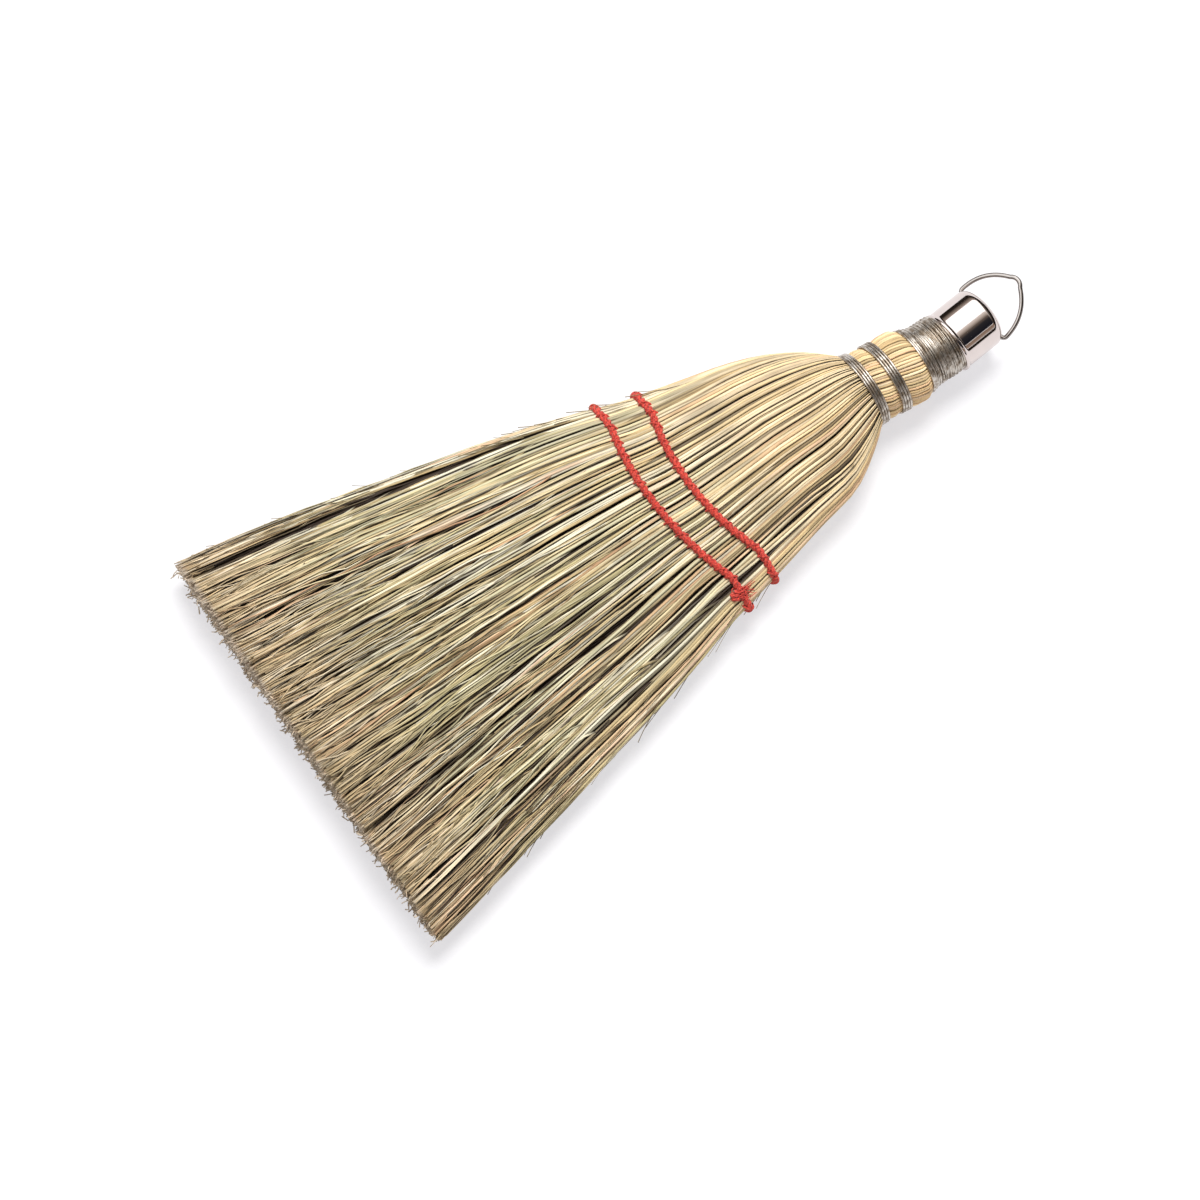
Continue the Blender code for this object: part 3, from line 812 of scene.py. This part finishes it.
def wire_finish():
    """Dull metal with darker, rougher stains, and a fine grain as its bump."""
    material, add, link, shader = new_finish("tinned_wire", 0.38, 1.0)
    stain = noise(add, link, STAIN_SCALE, 4.0)
    dull = ranged(add, link, stain, 0.40, 0.62)
    link(mixed(add, link, dull, TINNED, STAINED), shader.inputs["Base Color"])
    link(ranged(add, link, stain, 0.35, 0.65, 0.28, 0.50), shader.inputs["Roughness"])
    bumped(add, link, shader, noise(add, link, GRAIN_SCALE, 2.0), *GRAIN_BUMP)
    return material


def wire_turns(start, end, turns, lift, wire, hand=1):
    """Points of a helix round the neck, with a slight unevenness in place and in radius."""
    step = np.linspace(0, 1, int(turns * TURN_STEPS) + 1)
    angle = hand * 2 * np.pi * turns * step + np.pi
    place = start + (end - start) * step + 0.08 * np.sin(5.3 * angle) * (wire < WIRE)
    radius = neck_radius(place) + wire / 2 + lift + 0.03 * np.sin(3.7 * angle + hand)
    path = round_neck(place, angle, radius)
    outward = path - round_neck(place, angle, 0 * radius)
    return path[None], unit(outward)[None], wire


def wire_piece(name, node, lines):
    """One piece of several helixes, each swept with its own wire's size."""
    groups = []
    for path, outward, wire in lines:
        size = np.full(path.shape[:2], wire / 2)
        rings = sweep(path, outward, size, size, 8)
        groups.append((rings, np.zeros(rings.shape)))
    points, faces, _ = joined(groups)
    piece = add_piece(name, points, faces, tinned)
    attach(piece, "broom")
    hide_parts(node)


tinned = wire_finish()
band_half = BAND_PITCH * BAND_TURNS / 2
for name, band in zip(("lower_band_wire", "upper_band_wire"), BANDS_AT):
    turns = wire_turns(band - band_half, band + band_half, BAND_TURNS, 0.05, WIRE)
    wire_piece(f"wound_{name}", name, [turns])
wire_piece(
    "wound_neck_winding_wire",
    "neck_winding_wire",
    [
        wire_turns(WINDING_FROM + WIRE / 2, WINDING_TO - WIRE / 2, 16, 0.05, WIRE),
        wire_turns(WINDING_FROM + 1.2, WINDING_TO - 2.4, 12, 0.72, CROSS_WIRE, -1),
        wire_turns(WINDING_FROM + 1.8, WINDING_TO - 2.4, 8, 0.92, CROSS_WIRE),
    ],
)


# The sewing twine. Two plies of red twine are laid round the fan in two rows, and a stitch
# through the straw crosses over each row every few millimetres and holds it down.
ROPE = 3.2
PLY = 1.85
LAY = 5.2
ROW_STEPS = 640
ROW_LIFT = 0.55
STITCH = 0.85
STITCH_EVERY = 6.4
STITCH_LEAN = (1.3, 2.2)
STITCH_REACH = (1.8, 2.4)
STITCH_RISE = 1.4
STITCH_DIP = 1.7
DEEP_RED = (0.32, 0.014, 0.010)
LIT_RED = (0.90, 0.095, 0.060)
FLUFF_SCALE = 1500.0
FLUFF_BUMP = (0.5, 0.0003)


def twine_finish():
    """Soft red, deeper and lighter with the fluff's pattern, and a faint sheen."""
    material, add, link, shader = new_finish("red_twine", 0.75)
    fluff = noise(add, link, FLUFF_SCALE, 3.0)
    shade = ranged(add, link, fluff, 0.3, 0.7)
    link(mixed(add, link, shade, DEEP_RED, LIT_RED), shader.inputs["Base Color"])
    shader.inputs["Sheen Weight"].default_value = 0.25
    shader.inputs["Sheen Roughness"].default_value = 0.4
    bumped(add, link, shader, fluff, *FLUFF_BUMP)
    return material


red = twine_finish()


def row_loop(row):
    """Points of a row's middle line round the straw, evenly spaced, and the outward directions."""
    across, through = rim_sides(np.linspace(0, 4, 800, endpoint=False))
    path = in_straw(row_place(row, across), across, through)
    ahead = np.roll(path, -1, axis=0) - np.roll(path, 1, axis=0)
    outward = unit(np.cross(TO_TIPS, ahead))
    path = path + outward * ROW_LIFT
    closed = np.vstack([path, path[:1]])
    out_closed = np.vstack([outward, outward[:1]])
    along = np.concatenate([[0], np.cumsum(np.linalg.norm(np.diff(closed, axis=0), axis=1))])
    wanted = np.linspace(0, along[-1], ROW_STEPS, endpoint=False)
    even, out = (
        np.stack([np.interp(wanted, along, part[:, k]) for k in range(3)], axis=-1)
        for part in (closed, out_closed)
    )
    return even, unit(out), along[-1]


def row_plies(path, outward, cross, length):
    """Two plies that turn round the row's middle line, opposite each other."""
    angle = 2 * np.pi * round(length / LAY) * np.arange(len(path)) / len(path)
    hints = np.stack([
        np.cos(angle + start)[:, None] * cross + np.sin(angle + start)[:, None] * outward
        for start in (0, np.pi)
    ])
    plies = path + hints * (ROPE - PLY) / 2
    size = np.full(plies.shape[:2], PLY / 2)
    return sweep(plies, hints, size, size, 8, closed=True)


def row_stitches(path, outward, ahead, cross, length):
    """Stitches that cross over the row slantwise: each bows up by a square and dips by a cube."""
    count = int(length / STITCH_EVERY)
    at = ((np.arange(count) + rng.uniform(-0.2, 0.2, count)) * len(path) / count).astype(int)
    bow = np.linspace(-1, 1, 13)[None, :, None]
    lean = rng.uniform(*STITCH_LEAN, (count, 1, 1))
    reach = rng.uniform(*STITCH_REACH, (count, 1, 1))
    over = path[at][:, None] + cross[at][:, None] * bow * reach + ahead[at][:, None] * bow * lean
    height = STITCH_RISE * (1 - bow**2) - STITCH_DIP * np.abs(bow) ** 3
    over = over + outward[at][:, None] * height
    hint = np.broadcast_to(outward[at][:, None], over.shape) + 1e-3 * cross[at][:, None]
    size = np.full(over.shape[:2], STITCH / 2)
    return sweep(over, hint, size, size, 6)


def row_piece(row, name, node):
    path, outward, length = row_loop(row)
    ahead = unit(np.roll(path, -1, axis=0) - np.roll(path, 1, axis=0))
    cross = unit(np.cross(outward, ahead))
    plies = row_plies(path, outward, cross, length)
    stitches = row_stitches(path, outward, ahead, cross, length)
    ply_quads, = tube_faces(*plies.shape[:3], closed=True)
    first = plies.size // 3
    quads, ends = (faces + first for faces in tube_faces(*stitches.shape[:3]))
    points = np.concatenate([plies.reshape(-1, 3), stitches.reshape(-1, 3)])
    piece = add_piece(name, points, [np.concatenate([ply_quads, quads]), ends], red)
    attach(piece, "broom")
    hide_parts(node)


row_piece(0, "sewn_lower_row", "lower_twine_row")
row_piece(1, "sewn_upper_row", "upper_twine_row")


# The twine's end: a knot of a few wraps round the row at the right edge, with its fibres
# teased out into a soft tuft that lies up along the edge.
KNOT_STRAND = 1.4
KNOT_WRAPS = 2.5
KNOT_RADIUS = 1.15
KNOT_LENGTH = 3.6
KNOT_RUN = unit(np.array([0.25, 1.0, 0.55]))
KNOT_FROM_BOX = (2.8, 6.8, 2.2)
TUFT_HAIRS = 60
TUFT_LEAST = (1.0, -2.4, -2.5)
TUFT_MOST = (9.5, 2.2, 1.6)
TUFT_SIZES = (0.30, 0.22, 0.08)
low, high = (np.array(corner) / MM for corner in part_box("twine_tail"))
knot_at = np.array([low[0], high[1], high[2]]) + KNOT_FROM_BOX


def knot_rings():
    """A coil round a short straight run, its radius swelling to the middle by half a sine."""
    share = np.linspace(0, 1, 70)
    turned = 2 * np.pi * KNOT_WRAPS * share
    side_way = unit(np.cross(KNOT_RUN, np.array([1.0, 0.2, 0.0])))
    up_way = np.cross(side_way, KNOT_RUN)
    swell = KNOT_RADIUS * (0.75 + 0.35 * np.sin(np.pi * share))
    path = knot_at + KNOT_RUN * (KNOT_LENGTH * (share - 0.5))[:, None]
    path = path + (np.cos(turned) * swell)[:, None] * side_way
    path = path + (np.sin(turned) * swell)[:, None] * up_way
    size = np.full((1, len(share)), KNOT_STRAND / 2)
    return sweep(path[None], (path - knot_at + 1e-3)[None], size, size, 8)


def tuft_rings():
    """Straight runs from the knot to strewn ends, each bent aside by a part of a sine."""
    share = np.linspace(0, 1, 12)[None]
    start = knot_at + rng.normal(0, 0.9, (TUFT_HAIRS, 1, 3))
    end = start + rng.uniform(TUFT_LEAST, TUFT_MOST, (TUFT_HAIRS, 3))[:, None]
    path = start + (end - start) * share[..., None]
    path = path + rng.normal(0, 0.8, (TUFT_HAIRS, 1, 3)) * np.sin(1.3 * np.pi * share)[..., None]
    size = np.interp(share, (0, 0.5, 1), TUFT_SIZES).repeat(TUFT_HAIRS, axis=0)
    return sweep(path, np.broadcast_to(np.array([0.0, 0.3, 1.0]), path.shape), size, size, 5)


groups = [(rings, np.zeros(rings.shape)) for rings in (knot_rings(), tuft_rings())]
points, faces, _ = joined(groups)
tail = add_piece("frayed_twine_tail", points, faces, red)
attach(tail, "broom")
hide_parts("twine_tail")


# The cap. A cup drawn from thin sheet, plated bright, with a rolled rim at its mouth and a
# round shoulder with two holes for the ring's ends.
CAP_DIAMETER = 25.0
CAP_LENGTH = 20.0
CAP_WALL = 0.6
CAP_SHOULDER = 4.2
CAP_CROWN = ((0, 0.45), (3.5, 0.38), (6.5, 0.15))
CAP_MOUTH = 2.4
BEAD = 0.8
PIN_DEPTH = 1.6
PIN_HOLE = 2.6
DRILL_REACH = 30
NICKEL = (0.68, 0.605, 0.575)
SMUDGE_SCALE = 140.0
hinge_at = Vector(frame["joints"][0]["pos_m"])
cap_way = Vector((math.cos(CAP_TURN), math.sin(CAP_TURN), 0))
cap_middle = hinge_at - cap_way * (CAP_LENGTH - PIN_DEPTH) * MM
cap_rotation = Matrix.Rotation(CAP_TURN, 4, "Z")


def bright_finish(name, colour, roughness, wear):
    """Bright metal, a little rougher and darker where it is smudged."""
    material, add, link, shader = new_finish(name, roughness, 1.0)
    smudge = noise(add, link, SMUDGE_SCALE, 4.0)
    rough = ranged(add, link, smudge, 0.35, 0.7, roughness, roughness + wear)
    link(rough, shader.inputs["Roughness"])
    tint = ranged(add, link, smudge, 0.3, 0.7, 0.0, 0.35)
    darker = tuple(0.88 * part for part in colour)
    link(mixed(add, link, tint, colour, darker), shader.inputs["Base Color"])
    return material


def arc(middle, radius, start, end, steps):
    """Points of an arc: its middle plus the radius times the cosine and the sine of the angle."""
    angle = np.linspace(math.radians(start), math.radians(end), steps)
    return middle + radius * np.stack([np.cos(angle), np.sin(angle)], axis=-1)


def tidy_normals(mesh):
    bm = bmesh.new()
    bm.from_mesh(mesh)
    bmesh.ops.remove_doubles(bm, verts=bm.verts, dist=1e-7)
    bmesh.ops.recalc_face_normals(bm, faces=bm.faces)
    bm.to_mesh(mesh)
    bm.free()


def cap_piece():
    """Turned profile: each point is its radius carried round the axis, at its height along it."""
    outer = CAP_DIAMETER / 2
    inner = outer - CAP_WALL
    corner = (outer - CAP_SHOULDER, CAP_LENGTH - CAP_SHOULDER)
    bead = (outer - CAP_WALL / 2, BEAD)
    profile = np.vstack([
        [(radius, CAP_LENGTH + rise) for radius, rise in CAP_CROWN],
        arc(corner, CAP_SHOULDER, 88, 0, 16),
        [(outer, 6.0), (outer, CAP_MOUTH)],
        arc(bead, BEAD, 66, -180, 16),
        [(inner, CAP_MOUTH), (inner, 8.0)],
        arc(corner, CAP_SHOULDER - CAP_WALL, 0, 90, 10),
        [(0, CAP_LENGTH - CAP_WALL)],
    ])
    angle = np.linspace(0, 2 * np.pi, 128, endpoint=False)[:, None]
    radius, height = profile.T[:, None]
    height = np.broadcast_to(height, (len(angle), len(profile)))
    grid = np.stack([height, radius * np.cos(angle), radius * np.sin(angle)], axis=-1)
    ids = np.arange(height.size).reshape(height.shape)
    far = np.roll(ids, -1, axis=0)
    quads = np.stack([ids[:, :-1], ids[:, 1:], far[:, 1:], far[:, :-1]], axis=-1).reshape(-1, 4)
    piece = add_piece("bright_handle_cap", grid.reshape(-1, 3), [quads], nickel)
    tidy_normals(piece.data)
    piece.data.transform(Matrix.Translation(cap_middle) @ cap_rotation)
    return piece


def pin_holes(piece):
    """Cuts a round hole through both sides of the cap's shoulder, along the ring's hinge."""
    bm = bmesh.new()
    radius = PIN_HOLE / 2 * MM
    along_pins = Matrix.Translation(hinge_at) @ cap_rotation @ Matrix.Rotation(math.pi / 2, 4, "X")
    bmesh.ops.create_cone(
        bm, cap_ends=True, segments=32, radius1=radius, radius2=radius,
        depth=DRILL_REACH * MM, matrix=along_pins,
    )
    drill_mesh = bpy.data.meshes.new("drill")
    bm.to_mesh(drill_mesh)
    bm.free()
    drill = placed("drill", drill_mesh)
    cut = piece.modifiers.new("pin_holes", "BOOLEAN")
    cut.operation = "DIFFERENCE"
    cut.solver = "EXACT"
    cut.object = drill
    evaluated = piece.evaluated_get(bpy.context.evaluated_depsgraph_get())
    drilled = bpy.data.meshes.new_from_object(evaluated)
    piece.modifiers.clear()
    piece.data = drilled
    drilled.shade_smooth()
    bpy.data.objects.remove(drill)


nickel = bright_finish("bright_nickel", NICKEL, 0.05, 0.05)
cap = cap_piece()
pin_holes(cap)
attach(cap, "broom")
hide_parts("handle_cap")


# The hanging ring. Bright wire bent to a pointed arch, with its two ends turned in and sprung
# into the cap's holes, so that it swings on them.
RING_WIRE = 1.9
RING_REACH = 19.6
RING_CORNER = 1.6
RING_APEX = 3.6
RING_TURN = 38
RING_BULGE = (0.78, 0.97)
RING_GAP = 0.3
RING_PIN = 3.0
RING_RAISE = math.radians(28.0)
RING_METAL = (0.40, 0.37, 0.35)


def ring_route():
    """Middle line in the ring's plane: pin, round corner, bowed leg, round apex, and mirrored."""
    rise = CAP_SHOULDER - PIN_DEPTH
    cap_side = CAP_DIAMETER / 2 - CAP_SHOULDER + math.sqrt(CAP_SHOULDER**2 - rise**2)
    leg = cap_side + RING_GAP + RING_WIRE / 2
    pin_tip = leg - RING_WIRE / 2 - RING_GAP - RING_PIN
    turn = np.linspace(0, np.pi / 2, 9)
    corner = RING_CORNER * np.stack([1 - np.cos(turn), np.sin(turn) - 1], axis=-1) + (0, leg)
    apex = RING_REACH - RING_APEX
    top = np.radians(np.linspace(RING_TURN, 90, 10))
    apex_arc = np.stack([apex + RING_APEX * np.sin(top), RING_APEX * np.cos(top)], axis=-1)
    t = np.linspace(0, 1, 20)[1:-1, None]
    start = np.array([RING_CORNER, leg])
    bulge = np.array([apex * RING_BULGE[0], leg * RING_BULGE[1]])
    bow = (1 - t) ** 2 * start + 2 * t * (1 - t) * bulge + t**2 * apex_arc[0]
    pin = [(0, pin_tip), (0, (pin_tip + leg - RING_CORNER) / 2)]
    half = np.vstack([pin, corner, bow, apex_arc])
    whole = np.vstack([half, half[-2::-1] * np.array([1, -1])])
    return np.hstack([whole, np.zeros((len(whole), 1))])


ring_wire = bright_finish("bright_ring_wire", RING_METAL, 0.07, 0.06)
route = ring_route()[None]
size = np.full(route.shape[:2], RING_WIRE / 2)
rings = sweep(route, np.broadcast_to(UP, route.shape), size, size, 16)
ring_faces = tube_faces(*rings.shape[:3])
ring = add_piece("bright_hanging_ring", rings.reshape(-1, 3), ring_faces, ring_wire)
raised = Matrix.Rotation(-RING_RAISE, 4, "Y")
ring.data.transform(Matrix.Translation(hinge_at) @ cap_rotation @ raised)
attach(ring, "ring")
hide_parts("hanging_ring")


# The studio: a pale floor, a big soft lamp from the picture's top, dark cards that only the
# metal mirrors, and a camera that looks down at the broom from the side of its tips.
FLOOR_HALF = 6
FLOOR_GLOW = (0.585, 0.578, 0.600)
FLOOR_LIT = 0.46


def seen_rays(add, link):
    """One where the camera, a mirror or glass sees the surface, and nought for plain light."""
    rays = add("ShaderNodeLightPath")
    total = rays.outputs["Is Camera Ray"]
    for name in ("Is Glossy Ray", "Is Transmission Ray"):
        either = add("ShaderNodeMath", operation="MAXIMUM")
        link(total, either.inputs[0])
        link(rays.outputs[name], either.inputs[1])
        total = either.outputs[0]
    return total


def floor_finish():
    """Pale for light. Where it is seen, a glow is mixed in, so that only a light shadow stays."""
    material, add, link, shader = new_finish("pale_floor", 0.9)
    shader.inputs["Base Color"].default_value = (0.93, 0.93, 0.93, 1.0)
    dimmed = add("ShaderNodeBsdfDiffuse")
    dimmed.inputs["Color"].default_value = (FLOOR_LIT, FLOOR_LIT, FLOOR_LIT, 1.0)
    glow = add("ShaderNodeEmission")
    glow.inputs["Color"].default_value = (*FLOOR_GLOW, 1.0)
    both = add("ShaderNodeAddShader")
    link(dimmed.outputs[0], both.inputs[0])
    link(glow.outputs[0], both.inputs[1])
    chosen = add("ShaderNodeMixShader")
    link(seen_rays(add, link), chosen.inputs[0])
    link(shader.outputs[0], chosen.inputs[1])
    link(both.outputs[0], chosen.inputs[2])
    link(chosen.outputs[0], material.node_tree.nodes["Material Output"].inputs["Surface"])
    return material


floor_mesh = bpy.data.meshes.new("floor")
floor_corners = [
    (FLOOR_HALF * x, FLOOR_HALF * y, 0) for x, y in ((-1, -1), (1, -1), (1, 1), (-1, 1))
]
floor_mesh.from_pydata(floor_corners, [], [(0, 1, 2, 3)])
floor_mesh.materials.append(floor_finish())
floor = placed("floor", floor_mesh)

CARD_REACH = 1.1
CARDS = (
    # each side card's rows: the lean from straight above in degrees, and the colour
    ((-5, (2.0, 2.0, 2.0)), (54, (2.0, 2.0, 2.0))),
    (
        (55, (0.50, 0.44, 0.40)), (66, (0.22, 0.18, 0.15)),
        (73, (0.03, 0.022, 0.018)), (89, (0.01, 0.008, 0.006)),
    ),
    (
        (-6, (1.0, 0.95, 0.90)), (-16, (0.60, 0.54, 0.48)), (-24, (0.16, 0.13, 0.11)),
        (-34, (0.03, 0.03, 0.035)), (-60, (0.010, 0.012, 0.02)),
    ),
    ((-62, (0.26, 0.18, 0.13)), (-76, (0.44, 0.34, 0.28))),
    ((-78, (0.02, 0.015, 0.01)), (-89, (0.02, 0.015, 0.01))),
)
WALL = ((0.01, (0.01, 0.008, 0.006)), (0.45, (0.03, 0.024, 0.02)), (0.90, (0.34, 0.30, 0.26)))


def card_finish():
    """Shows the card's own colour, the same in any light."""
    material = bpy.data.materials.new("studio_card")
    material.use_nodes = True
    add, link, nodes = nodes_of(material)
    nodes.remove(nodes["Principled BSDF"])
    glow = add("ShaderNodeEmission")
    link(add("ShaderNodeAttribute", attribute_name="card").outputs["Color"], glow.inputs["Color"])
    link(glow.outputs[0], nodes["Material Output"].inputs["Surface"])
    material.cycles.emission_sampling = "NONE"
    return material


def add_card(name, rows, finish):
    """A strip through rows of two points, each row with its colour."""
    mesh = bpy.data.meshes.new(name)
    points = [point for pair, _ in rows for point in pair]
    quads = [(2 * k, 2 * k + 1, 2 * k + 3, 2 * k + 2) for k in range(len(rows) - 1)]
    mesh.from_pydata(points, [], quads)
    tint = mesh.attributes.new("card", "FLOAT_COLOR", "POINT")
    colours = [(*colour, 1.0) for _, colour in rows for _ in range(2)]
    tint.data.foreach_set("color", np.array(colours, dtype=np.float32).ravel())
    mesh.materials.append(finish)
    card = placed(name, mesh)
    for kind in ("camera", "diffuse", "transmission", "shadow", "volume_scatter"):
        setattr(card, f"visible_{kind}", False)


card = card_finish()
for number, strip in enumerate(CARDS):
    rows = []
    for lean, colour in strip:
        y = CARD_REACH * math.sin(math.radians(lean))
        z = CARD_REACH * math.cos(math.radians(lean))
        rows.append((((-CARD_REACH, y, z), (CARD_REACH, y, z)), colour))
    add_card(f"side_card_{number}", rows, card)
for name, x in (("near_card", -CARD_REACH), ("far_card", CARD_REACH)):
    rows = [(((x, -CARD_REACH, z), (x, CARD_REACH, z)), colour) for z, colour in WALL]
    add_card(name, rows, card)

WORLD_LIGHT = 0.34


def add_lamp(name, place, size, power):
    """A round soft lamp that is aimed at the middle of the floor."""
    lamp = bpy.data.lights.new(name, "AREA")
    lamp.shape = "DISK"
    lamp.size = size
    lamp.energy = power
    holder = placed(name, lamp)
    holder.location = place
    holder.rotation_euler = (-Vector(place)).to_track_quat("-Z", "Y").to_euler()


add_lamp("key", place=(0.60, 0.72, 1.98), size=1.2, power=48)
add_lamp("fill", place=(-0.9, -1.2, 1.4), size=1.6, power=3)

world = bpy.data.worlds.new("studio")
bpy.context.scene.world = world
world.use_nodes = True
add, link, nodes = nodes_of(world)
background = nodes["Background"]
background.inputs["Color"].default_value = (1, 1, 1, 1)
level = ranged(add, link, seen_rays(add, link), 0.0, 1.0, WORLD_LIGHT, 1.0)
link(level, background.inputs["Strength"])

TURN = math.radians(34.32)
ELEVATION = math.radians(73.0)
DISTANCE = 1.4
TARGET = Vector((-0.03908, -0.01536, 0.014))
FOCAL_PIXELS = 3717.7
IMAGE = 1200.0
SENSOR = 36.0
level_part = math.cos(ELEVATION)
look = Vector((math.sin(TURN) * level_part, math.cos(TURN) * level_part, -math.sin(ELEVATION)))
lens = bpy.data.cameras.new("camera")
lens.sensor_width = SENSOR
lens.lens = FOCAL_PIXELS * SENSOR / IMAGE
lens.clip_start = 0.05
camera = placed("camera", lens)
camera.location = TARGET - look * DISTANCE
camera.rotation_euler = look.to_track_quat("-Z", "Y").to_euler()
bpy.context.scene.camera = camera
bpy.context.scene.view_settings.view_transform = "Standard"
